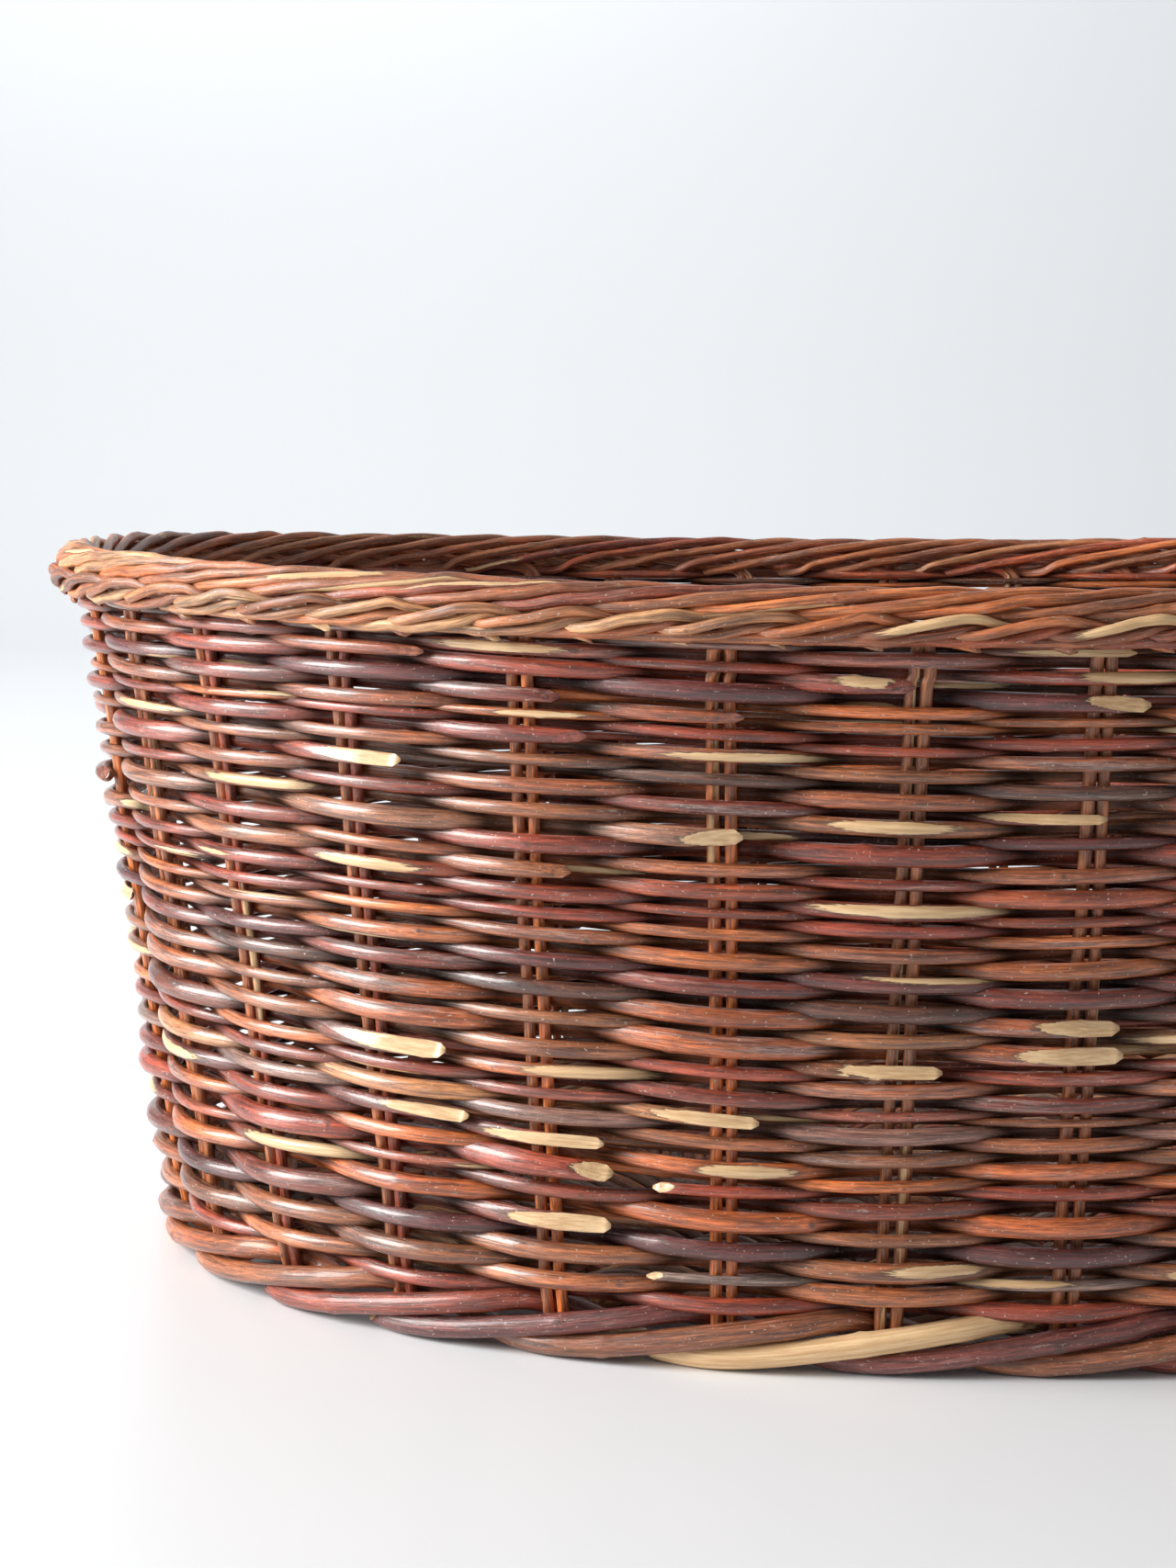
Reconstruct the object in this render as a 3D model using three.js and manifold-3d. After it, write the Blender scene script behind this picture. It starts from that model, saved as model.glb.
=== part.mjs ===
// A deep oval basket of brown willow, made by the stake-and-strand method.
// Seven long sticks run through slits in nine cross sticks. Outside that crossing both spread
// like rays, one end to each pair of stakes, and a woven mat fills the base.
// Stakes go into the base weave two by two, turn up through a heavy wale that is the foot,
// stand in the side weave, and end under a rolled border.
// Millimetres. +Z up, +X along the oval, origin on the floor at the middle.
import * as THREE from 'three';
import { mergeVertices } from 'three/addons/utils/BufferGeometryUtils.js';
import Module from 'manifold-3d';

const wasm = await Module();
wasm.setup();

// Driving dimensions
const RIM_HEIGHT = 250;            // mean height of the border's top
const END_LIFT = 7;                // the border stands this much higher at the ends than at the sides
const FOOT_SEMI_LENGTH = 291;      // middle of the wall, at the floor
const FOOT_SEMI_WIDTH = 207.5;
const RIM_SEMI_LENGTH = 324;       // middle of the wall, at the rim
const RIM_SEMI_WIDTH = 234;
const SQUARENESS = 2.3;            // exponent of the oval: 2 is an ellipse, more is squarer
const GAP = 0.3;                   // between pieces that touch on the real basket

// Stakes
const STAKE_PAIRS = 32;
const STAKE_DIAMETER = 4.2;
const STAKE_SPACING = 4.1;         // between the two stakes of a pair
const LEG_LENGTH = 42;             // how far a stake reaches into the base
const LEG_HEIGHT = 5.2;            // its middle line above the floor, in the base
const LEG_BEND = 6;
const STAKE_TOP_GAP = 1;           // under the border, because the stakes lean outwards

// Foot, side and border
const FOOT_HEIGHT = 20;
const FOOT_THICKNESS = 14;
const WALL_THICKNESS = 12.4;
const SIDE_BANDS = ['side_weave_lower', 'side_weave_middle', 'side_weave_upper'];
const BORDER_HEIGHT = 17.5;
const BORDER_OUTER = 14;           // beyond the middle of the wall
const BORDER_INNER = -4;

// Base
const MAT_BOTTOM = 2.4;
const MAT_TOP = 18.4;
const STICK_HEIGHT = 12.4;         // middle line of every stick
const STICK_INSET = 8;             // from the edge of the mat to a stick's end
const STICK_STEPS = 4;             // steps along the spread part of a stick
const LONG_STICKS = 7;
const LONG_STICK_DIAMETER = 5;
const LONG_STICK_PITCH = 6;
const CROSS_STICKS = 9;
const CROSS_STICK_DIAMETER = 8;
const CROSS_STICK_PITCH = 21;
const CROSS_STICK_SWELL = 9.6;     // thickness where the stick is split open
const SWELL_TAPER = 16;
const MAT_POSTS = 8;
const POST_SIZE = 12;
const POST_INSET = 26;             // from the edge of the mat to a post's middle
const CROSSING_MARGIN = 8;         // how far past the crossing a stick starts to spread

// Resolution
const STATIONS = 2 * STAKE_PAIRS;  // flats round a ring
const STICK_SIDES = 8;
const LATHE_RADIUS = 100;          // working radius of a ring before it is laid round the oval
const ARC_STEPS = 4096;
const MERGE_TOLERANCE = 1e-4;

const borderBottom = RIM_HEIGHT - BORDER_HEIGHT;
const slitHalfWidth = (LONG_STICKS * LONG_STICK_PITCH) / 2;
const crossingHalfWidth = slitHalfWidth + CROSSING_MARGIN;
const crossingHalfLength = ((CROSS_STICKS - 1) * CROSS_STICK_PITCH) / 2 + CROSSING_MARGIN;

function willow(color, roughness) {
  return new THREE.MeshStandardMaterial({ color, roughness, metalness: 0 });
}

const stickWillow = willow(0x6b4a30, 0.75);
const matWillow = willow(0x7a4a2c, 0.7);
const stakeWillow = willow(0x9a6a3e, 0.6);
const footWillow = willow(0x7c4526, 0.55);
const sideWillow = willow(0x7a3f24, 0.5);
const borderWillow = willow(0xa07a54, 0.65);

// The oval: a superellipse whose half sizes grow evenly from the floor to the rim.

function halfSizes(height) {
  const rise = height / RIM_HEIGHT;
  return {
    length: THREE.MathUtils.lerp(FOOT_SEMI_LENGTH, RIM_SEMI_LENGTH, rise),
    width: THREE.MathUtils.lerp(FOOT_SEMI_WIDTH, RIM_SEMI_WIDTH, rise),
  };
}

function unitOval(angle) {
  const cosine = Math.cos(angle);
  const sine = Math.sin(angle);
  const reach = (Math.abs(cosine) ** SQUARENESS + Math.abs(sine) ** SQUARENESS) ** (-1 / SQUARENESS);
  return new THREE.Vector2(reach * cosine, reach * sine);
}

// Distance walked round the wall at half height, for every angle step.
function walkRound() {
  const half = halfSizes(RIM_HEIGHT / 2);
  const walked = [0];
  let last = new THREE.Vector2(half.length, 0);
  for (let step = 1; step <= ARC_STEPS; step += 1) {
    const unit = unitOval((2 * Math.PI * step) / ARC_STEPS);
    const next = new THREE.Vector2(half.length * unit.x, half.width * unit.y);
    walked.push(walked[step - 1] + next.distanceTo(last));
    last = next;
  }
  return walked;
}

const walked = walkRound();

// The angle at a given fraction of the way round, measured along the wall from the +X end.
function angleAt(fraction) {
  const turn = fraction - Math.floor(fraction);
  const target = turn * walked[ARC_STEPS];
  let step = 1;
  while (step < ARC_STEPS && walked[step] < target) {
    step += 1;
  }
  const part = (target - walked[step - 1]) / (walked[step] - walked[step - 1]);
  return (2 * Math.PI * (step - 1 + part)) / ARC_STEPS;
}

// A point of the wall: offset is outwards from its middle, and the ends lift evenly with height.
function wallPoint(fraction, offset, height) {
  const unit = unitOval(angleAt(fraction));
  const half = halfSizes(height);
  const lift = END_LIFT * (unit.x ** 2 - 0.5) * (height / RIM_HEIGHT);
  return new THREE.Vector3((half.length + offset) * unit.x, (half.width + offset) * unit.y, height + lift);
}

// The outward direction of the wall, level with the floor.
function wallNormal(fraction) {
  const unit = unitOval(angleAt(fraction));
  const half = halfSizes(RIM_HEIGHT / 2);
  const slope = (value) => Math.sign(value) * Math.abs(value) ** (SQUARENESS - 1);
  return new THREE.Vector3(slope(unit.x) / half.length, slope(unit.y) / half.width, 0).normalize();
}

// Solids

function asSolid(geometry) {
  const bare = geometry.clone();
  bare.deleteAttribute('normal');
  bare.deleteAttribute('uv');
  const merged = mergeVertices(bare, MERGE_TOLERANCE);
  return new wasm.Manifold(new wasm.Mesh({
    numProp: 3,
    vertProperties: new Float32Array(merged.attributes.position.array),
    triVerts: new Uint32Array(merged.index.array),
  }));
}

function asGeometry(solid) {
  const mesh = solid.getMesh();
  const geometry = new THREE.BufferGeometry();
  geometry.setAttribute('position', new THREE.BufferAttribute(new Float32Array(mesh.vertProperties), 3));
  geometry.setIndex(new THREE.BufferAttribute(new Uint32Array(mesh.triVerts), 1));
  geometry.computeVertexNormals();
  return geometry;
}

function cut(geometry, cutters) {
  return asGeometry(cutters.reduce((solid, cutter) => solid.subtract(cutter), asSolid(geometry)));
}

// Ring corners lie between the stakes, so that each stake meets the middle of a flat.
function stationFraction(station) {
  return (station + 0.5) / STATIONS;
}

// A ring laid round the oval. Its section is a list of [offset, height] corners,
// starting low on the outside and going up, in, down and out again.
function ring(section) {
  const corners = [...section, section[0]].map(
    ([offset, height]) => new THREE.Vector2(LATHE_RADIUS + offset, height),
  );
  const geometry = new THREE.LatheGeometry(corners, STATIONS);
  const position = geometry.attributes.position;
  for (let index = 0; index < position.count; index += 1) {
    const across = position.getX(index);
    const along = position.getZ(index);
    const offset = Math.hypot(across, along) - LATHE_RADIUS;
    const station = Math.round((Math.atan2(across, along) * STATIONS) / (2 * Math.PI));
    const point = wallPoint(stationFraction(station), offset, position.getY(index));
    position.setXYZ(index, point.x, point.y, point.z);
  }
  return geometry;
}

// A route through given points, one step from each to the next.
class PointRoute extends THREE.Curve {
  constructor(points) {
    super();
    this.points = points;
  }

  getPoint(t, target = new THREE.Vector3()) {
    const place = t * (this.points.length - 1);
    const index = Math.min(Math.floor(place), this.points.length - 2);
    return target.lerpVectors(this.points[index], this.points[index + 1], place - index);
  }

  getPointAt(t, target) {
    return this.getPoint(t, target);
  }

  getTangentAt(t, target = new THREE.Vector3()) {
    const last = this.points.length - 1;
    const index = Math.round(t * last);
    const before = this.points[Math.max(index - 1, 0)];
    const here = this.points[index];
    const after = this.points[Math.min(index + 1, last)];
    const arriving = here.clone().sub(before).normalize();
    const leaving = after.clone().sub(here).normalize();
    return target.copy(arriving).add(leaving).normalize();
  }
}

function sweep(outline, points) {
  return new THREE.ExtrudeGeometry(new THREE.Shape(outline), {
    steps: points.length - 1,
    extrudePath: new PointRoute(points),
  });
}

// Stakes

function stakeRoute(fraction) {
  const inward = wallNormal(fraction).negate();
  const corner = wallPoint(fraction, 0, LEG_HEIGHT);
  const bendMiddle = corner.clone().addScaledVector(inward, LEG_BEND * 0.3);
  bendMiddle.z += LEG_BEND * 0.3;
  return [
    corner.clone().addScaledVector(inward, LEG_LENGTH),
    corner.clone().addScaledVector(inward, LEG_BEND),
    bendMiddle,
    wallPoint(fraction, 0, LEG_HEIGHT + LEG_BEND),
    wallPoint(fraction, 0, borderBottom - STAKE_TOP_GAP),
  ];
}

// Two round stakes side by side, as one figure-of-eight outline.
function pairOutline() {
  const radius = STAKE_DIAMETER / 2;
  const outline = [];
  for (const side of [1, -1]) {
    for (const degrees of [-135, -67.5, 0, 67.5, 135]) {
      const angle = THREE.MathUtils.degToRad(degrees) + (side < 0 ? Math.PI : 0);
      outline.push(new THREE.Vector2(
        radius * Math.sin(angle),
        (side * STAKE_SPACING) / 2 + radius * Math.cos(angle),
      ));
    }
  }
  return outline.reverse();
}

function pairClearance() {
  const halfThick = STAKE_DIAMETER / 2 + GAP;
  const halfWide = (STAKE_SPACING + STAKE_DIAMETER) / 2 + GAP;
  return [
    new THREE.Vector2(-halfThick, -halfWide),
    new THREE.Vector2(halfThick, -halfWide),
    new THREE.Vector2(halfThick, halfWide),
    new THREE.Vector2(-halfThick, halfWide),
  ];
}

const basket = new THREE.Group();

function addPiece(name, geometry, material, place = new THREE.Vector3()) {
  const mesh = new THREE.Mesh(geometry, material);
  mesh.name = name;
  mesh.position.copy(place);
  basket.add(mesh);
}

const pairChannels = [];
for (let pair = 0; pair < STAKE_PAIRS; pair += 1) {
  const route = stakeRoute(pair / STAKE_PAIRS);
  addPiece(`stake_pair_${pair + 1}`, sweep(pairOutline(), route), stakeWillow);
  const above = route[4].clone().sub(route[3]).setLength(FOOT_HEIGHT).add(route[4]);
  const longRoute = [route[0], route[1], route[2], route[3], above];
  pairChannels.push(asSolid(sweep(pairClearance(), longRoute)));
}

// Foot wale and side weave

function bandSection(inner, outer, bottom, top) {
  return [[outer, bottom], [outer, top], [inner, top], [inner, bottom]];
}

const footSection = bandSection(-FOOT_THICKNESS / 2, FOOT_THICKNESS / 2, 0, FOOT_HEIGHT);
addPiece('foot_wale', cut(ring(footSection), pairChannels), footWillow);

const sideBottom = FOOT_HEIGHT + GAP;
const bandPitch = (borderBottom - sideBottom) / SIDE_BANDS.length;
SIDE_BANDS.forEach((name, index) => {
  const bottom = sideBottom + index * bandPitch;
  const section = bandSection(-WALL_THICKNESS / 2, WALL_THICKNESS / 2, bottom, bottom + bandPitch - GAP);
  addPiece(name, cut(ring(section), pairChannels), sideWillow);
});

// Border

const borderSection = [
  [BORDER_OUTER - 2, borderBottom],
  [BORDER_OUTER, borderBottom + 4],
  [BORDER_OUTER, RIM_HEIGHT - 6],
  [BORDER_OUTER - 4, RIM_HEIGHT],
  [BORDER_INNER + 4, RIM_HEIGHT],
  [BORDER_INNER, RIM_HEIGHT - 5],
  [BORDER_INNER, borderBottom],
];
addPiece('rim_border', ring(borderSection), borderWillow);

// Base

const matHalf = halfSizes(MAT_BOTTOM);
const matSemiLength = matHalf.length - FOOT_THICKNESS / 2 - GAP;
const matSemiWidth = matHalf.width - FOOT_THICKNESS / 2 - GAP;

function matPoint(fraction, inset) {
  const unit = unitOval(angleAt(fraction));
  return new THREE.Vector3((matSemiLength - inset) * unit.x, (matSemiWidth - inset) * unit.y, STICK_HEIGHT);
}

function matLayer(bottom, top) {
  const outline = [];
  for (let station = 0; station < STATIONS; station += 1) {
    const point = matPoint(stationFraction(station), 0);
    outline.push(new THREE.Vector2(point.x, point.y));
  }
  const layer = new THREE.ExtrudeGeometry(new THREE.Shape(outline), {
    depth: top - bottom,
    bevelEnabled: false,
  });
  return asSolid(layer.translate(0, 0, bottom));
}

// A post between two sticks, where the weave passes from under them to over them.
function matPost(fraction) {
  const place = matPoint(fraction, POST_INSET);
  const post = new THREE.BoxGeometry(POST_SIZE, POST_SIZE, MAT_TOP - MAT_BOTTOM - GAP);
  return asSolid(post.translate(place.x, place.y, (MAT_TOP + MAT_BOTTOM) / 2));
}

// The weave lies under and over the sticks, and posts join its two layers.
function matSolid() {
  const halfSpace = CROSS_STICK_SWELL / 2 + GAP;
  let mat = matLayer(MAT_BOTTOM, STICK_HEIGHT - halfSpace);
  mat = mat.add(matLayer(STICK_HEIGHT + halfSpace, MAT_TOP));
  for (let post = 0; post < MAT_POSTS; post += 1) {
    mat = mat.add(matPost((post * STAKE_PAIRS / MAT_POSTS + 0.5) / STAKE_PAIRS));
  }
  return mat;
}

// Half a stick: straight through the crossing, then spreading towards its stake pair.
function stickRay(start, direction, end) {
  const control = start.clone().addScaledVector(direction, start.distanceTo(end) * 0.4);
  return new THREE.QuadraticBezierCurve3(start, control, end).getPoints(STICK_STEPS);
}

// A whole stick lies the same way on both sides of the middle of the base.
// side is its place counted from the middle stick.
function stickRoute(alongX, side) {
  const along = new THREE.Vector3(alongX ? 1 : 0, alongX ? 0 : 1, 0);
  const across = new THREE.Vector3(alongX ? 0 : 1, alongX ? 1 : 0, 0);
  const place = side * (alongX ? LONG_STICK_PITCH : CROSS_STICK_PITCH);
  const reach = alongX ? crossingHalfLength : crossingHalfWidth;
  const pair = alongX ? side : STAKE_PAIRS / 4 - side;
  const start = across.clone().multiplyScalar(place).addScaledVector(along, reach);
  start.z = STICK_HEIGHT;
  const ray = stickRay(start, along, matPoint(pair / STAKE_PAIRS, STICK_INSET));
  const mirrored = ray.map((point) => (
    new THREE.Vector3(alongX ? -point.x : point.x, alongX ? point.y : -point.y, point.z)
  ));
  return [...mirrored.reverse(), ...ray];
}

function stick(route, diameter) {
  const outline = [];
  for (let corner = 0; corner < STICK_SIDES; corner += 1) {
    const angle = (2 * Math.PI * corner) / STICK_SIDES;
    outline.push(new THREE.Vector2((diameter / 2) * Math.cos(angle), (diameter / 2) * Math.sin(angle)));
  }
  return sweep(outline, route);
}

// The swollen middle of a cross stick, where it is split to let the long sticks through.
function swelling(x) {
  const swell = CROSS_STICK_SWELL / 2;
  const end = slitHalfWidth + SWELL_TAPER;
  const middle = new THREE.LatheGeometry([
    new THREE.Vector2(0, -end),
    new THREE.Vector2(swell, -slitHalfWidth),
    new THREE.Vector2(swell, slitHalfWidth),
    new THREE.Vector2(0, end),
  ], STICK_SIDES);
  return asSolid(middle.translate(x, 0, STICK_HEIGHT));
}

function slit(x) {
  const height = LONG_STICK_DIAMETER + 2 * GAP;
  const box = new THREE.BoxGeometry(2 * CROSS_STICK_SWELL, 2 * slitHalfWidth, height);
  return asSolid(box.translate(x, 0, STICK_HEIGHT));
}

for (let index = 0; index < LONG_STICKS; index += 1) {
  const route = stickRoute(true, index - (LONG_STICKS - 1) / 2);
  addPiece(`long_stick_${index + 1}`, stick(route, LONG_STICK_DIAMETER), stickWillow);
}

for (let index = 0; index < CROSS_STICKS; index += 1) {
  const side = index - (CROSS_STICKS - 1) / 2;
  const x = side * CROSS_STICK_PITCH;
  const whole = asSolid(stick(stickRoute(false, side), CROSS_STICK_DIAMETER));
  addPiece(`cross_stick_${index + 1}`, asGeometry(whole.add(swelling(x)).subtract(slit(x))), stickWillow);
}

const mat = pairChannels.reduce((solid, channel) => solid.subtract(channel), matSolid());
addPiece('base_weave', asGeometry(mat), matWillow);

export default basket;
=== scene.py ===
"""A deep oval basket of brown willow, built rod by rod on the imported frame.

Every rod of the real basket is a piece of its own: base sticks, base weavers, stakes that run on
into the border, the heavy wale of the foot and the weavers of the side. Lengths are millimetres
until a mesh is made. A place round the oval is counted in stake pairs from the +X end, and grows
to the right as seen from outside.
"""

import math

import bpy
import numpy as np
from mathutils import Matrix


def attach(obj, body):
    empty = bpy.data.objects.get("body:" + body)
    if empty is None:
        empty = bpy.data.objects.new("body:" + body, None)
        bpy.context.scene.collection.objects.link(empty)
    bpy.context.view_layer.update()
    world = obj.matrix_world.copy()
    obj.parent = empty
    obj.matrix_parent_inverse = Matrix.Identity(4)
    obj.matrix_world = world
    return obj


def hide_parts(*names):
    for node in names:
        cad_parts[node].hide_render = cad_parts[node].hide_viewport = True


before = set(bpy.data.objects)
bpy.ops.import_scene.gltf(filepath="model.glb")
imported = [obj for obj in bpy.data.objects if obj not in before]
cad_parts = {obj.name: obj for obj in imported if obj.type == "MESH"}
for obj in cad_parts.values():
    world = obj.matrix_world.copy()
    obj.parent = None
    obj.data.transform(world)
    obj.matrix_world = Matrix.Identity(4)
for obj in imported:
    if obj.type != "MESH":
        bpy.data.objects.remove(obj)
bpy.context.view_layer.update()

MM = 0.001

# The oval wall: the same driving sizes as the frame
RIM_HEIGHT = 250.0
END_LIFT = 7.0
FOOT_HALF = np.array([291.0, 207.5])
RIM_HALF = np.array([324.0, 234.0])
SQUARENESS = 2.3
PAIRS = 32
BORDER_BASE = 232.5
WALL_MIDDLE_HALF = (FOOT_HALF + RIM_HALF) / 2

FOOT_PULL = 3.5             # the foot stands this far inside the line of the wall
FOOT_PULL_HEIGHT = 28.0

# Rods
STAKE_RADIUS = 1.85
STAKE_HALF_GAP = 2.45
SIDE_COURSES = 54
SIDE_BOTTOM = 18.5
SIDE_TOP = 235.0
SNUGNESS = 1.13             # side rods are this many times as thick as the courses leave room for
RING_STEP = 2.4             # between the rings of a side or wale rod
UP = np.array([0.0, 0.0, 1.0])


# ---------------------------------------------------------------- the oval

def unit_oval(angle):
    cosine = np.cos(angle)
    sine = np.sin(angle)
    reach = (np.abs(cosine) ** SQUARENESS + np.abs(sine) ** SQUARENESS) ** (-1 / SQUARENESS)
    return np.stack([reach * cosine, reach * sine], axis=-1)


TURN = np.linspace(0, 2 * np.pi, 4097)
WALL_STEPS = np.linalg.norm(np.diff(unit_oval(TURN) * WALL_MIDDLE_HALF, axis=0), axis=1)
WALKED = np.concatenate([[0.0], np.cumsum(WALL_STEPS)])
PAIR_PITCH = WALKED[-1] / PAIRS


def unit_at(place):
    share = np.mod(place, PAIRS) / PAIRS
    return unit_oval(np.interp(share, WALKED / WALKED[-1], TURN))


def outward_at(place):
    """The level direction out of the wall."""
    unit = unit_at(place)
    slope = np.sign(unit) * np.abs(unit) ** (SQUARENESS - 1) / WALL_MIDDLE_HALF
    slope = slope / np.linalg.norm(slope, axis=-1, keepdims=True)
    return np.concatenate([slope, np.zeros_like(slope[..., :1])], axis=-1)


def along_at(place):
    """The level direction along the wall, towards the next stake pair."""
    return np.cross(UP, outward_at(place))


def wall(place, offset, height):
    """Points at an outward offset from the middle of the wall."""
    place, offset, height = np.broadcast_arrays(place, offset, height)
    unit = unit_at(place)
    half = FOOT_HALF + (RIM_HALF - FOOT_HALF) * height[..., None] / RIM_HEIGHT
    lift = END_LIFT * (unit[..., 0] ** 2 - 0.5) * height / RIM_HEIGHT
    middle = np.concatenate([unit * half, (height + lift)[..., None]], axis=-1)
    pull = FOOT_PULL * np.clip(1 - height / FOOT_PULL_HEIGHT, 0, 1)
    return middle + outward_at(place) * (offset - pull)[..., None]


def cubic(before, here, after, beyond, part):
    """The smooth curve from here to after, at a part of the way between them."""
    return 0.5 * (
        2 * here
        + (after - before) * part
        + (2 * before - 5 * here + 4 * after - beyond) * part ** 2
        + (3 * here - before - 3 * after + beyond) * part ** 3
    )


def catmull(rows, at):
    """A smooth curve through rows, read at row numbers that needn't be whole."""
    rows = np.asarray(rows, float)
    last = len(rows) - 1
    at = np.clip(at, 0, last)
    low = np.clip(np.floor(at).astype(int), 0, last - 1)
    part = (at - low)[:, None]
    before = rows[np.clip(low - 1, 0, last)]
    here = rows[low]
    after = rows[low + 1]
    beyond = rows[np.clip(low + 2, 0, last)]
    return cubic(before, here, after, beyond, part)


def catmull_ring(values, at):
    """The same curve through values that close on themselves, in one column or several."""
    values = np.asarray(values, float)
    count = len(values)
    low = np.floor(at).astype(int)
    part = at - low
    if values.ndim > 1:
        part = part[:, None]
    before, here, after, beyond = (values[(low + step) % count] for step in (-1, 0, 1, 2))
    return cubic(before, here, after, beyond, part)


# ---------------------------------------------------------------- rods

BARK = {
    "mahogany": (0.290, 0.046, 0.018),
    "orange": (0.560, 0.145, 0.032),
    "purple": (0.120, 0.027, 0.023),
    "brown": (0.320, 0.105, 0.038),
    "umber": (0.120, 0.042, 0.020),
    "grey": (0.220, 0.140, 0.105),
    "tan": (0.540, 0.270, 0.115),
}


TINT_SPREAD = (0.8, 1.25)
PATCH_LENGTHS = (8, 70)
PATCH_WIDTHS = (0.5, 1.7)   # radians round the rod
BUD_TURN = 2.4              # radians round the rod, from one bud to the next
FIRST_BUD = 5


def pick_bark(rng, shares):
    names = list(shares)
    weights = np.array([shares[name] for name in names], float)
    first, second = rng.choice(len(names), 2, p=weights / weights.sum())
    return np.array([BARK[names[first]], BARK[names[second]]])


class Skin:
    """How one rod's bark looks: its tint from end to end, bare patches, buds and greyness."""

    def __init__(self, rng, shares, grey=0.25, bare=0.0, buds=45.0, bright=1.0):
        ends = pick_bark(rng, shares) * bright * rng.uniform(*TINT_SPREAD)
        self.ends = np.array([ends[0], ends[0] * 0.6 + ends[1] * 0.4])
        self.grey = grey * rng.uniform(0.0, 2.0)
        self.bare = bare
        self.bud_gap = buds
        self.rng = rng
        self.patches = []

    def add_patch(self, middle, length, angle, width):
        self.patches.append((middle, length, angle, width))

    def scatter(self, length):
        """Bare patches and buds for a rod of this length."""
        for _ in range(self.rng.poisson(self.bare * length / 1000.0)):
            self.add_patch(
                self.rng.uniform(0, length), self.rng.uniform(*PATCH_LENGTHS),
                self.rng.uniform(0, 2 * np.pi), self.rng.uniform(*PATCH_WIDTHS),
            )
        buds = []
        at = self.rng.uniform(FIRST_BUD, self.bud_gap)
        angle = self.rng.uniform(0, 2 * np.pi)
        while at < length:
            buds.append((at, angle))
            at += self.bud_gap * self.rng.uniform(0.5, 1.5)
            angle += BUD_TURN
        return buds


# Painted shade: the colour is darkened in the middle of the wall's thickness, where the crossing rods
# shade each other; from a first depth out to a second it thins away.
PAINTED_SHADE_FROM = 0.3
PAINTED_SHADE_TO = 3.6
PAINTED_SHADE_DEEPEST = 0.14           # of the colour is left in the middle of the painted shade

# A rod's own unevenness, as shares of its radius
SWAY_KNOTS = 14
SWAY = 0.03
OVALNESS = 0.03
SWELLING = 0.05             # round a bud
SWELLING_REACH = 3.0        # mm along the rod
SCAR_HEIGHT = 0.42          # mm, of the bud itself
SCAR_REACH = 1.4            # mm along the rod
SCAR_WIDTH = 0.45           # radians round the rod
ROUNDED_RADII = 1.1         # a rod's end is rounded over this many radii
ROUNDED_LEAST = 0.3         # of the radius is left at the very end

# A slanting cut starts at the rod's surface, and at the rod's end it has passed the middle.
CUT_DEEPEST = 0.45          # radii beyond the middle
CUT_RIM = 0.45              # bark shows on the rim of a pale cut
CUT_CONTRAST = 2.2
ALL_BARK = -1.0


def wrapped(angle):
    return np.mod(angle + np.pi, 2 * np.pi) - np.pi


def steps_along(path):
    return np.concatenate([[0.0], np.cumsum(np.linalg.norm(np.diff(path, axis=0), axis=1))])


def slanting_cut(across, beside, radius, from_end, length):
    """Cuts a rod's end to a slant that faces the first direction.

    Returns what is left, where it was cut, and how many radii the cut took off at each point.
    """
    limit = radius * ((1 + CUT_DEEPEST) * from_end / length - CUT_DEEPEST)
    hit = across > limit
    inside = (across - limit) / radius
    half_chord = np.sqrt(np.maximum(radius ** 2 - np.minimum(limit, radius) ** 2, 0.0))
    across = np.where(hit, limit, across)
    beside = np.where(hit, np.clip(beside, -half_chord, half_chord), beside)
    return across, beside, hit, inside


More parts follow.
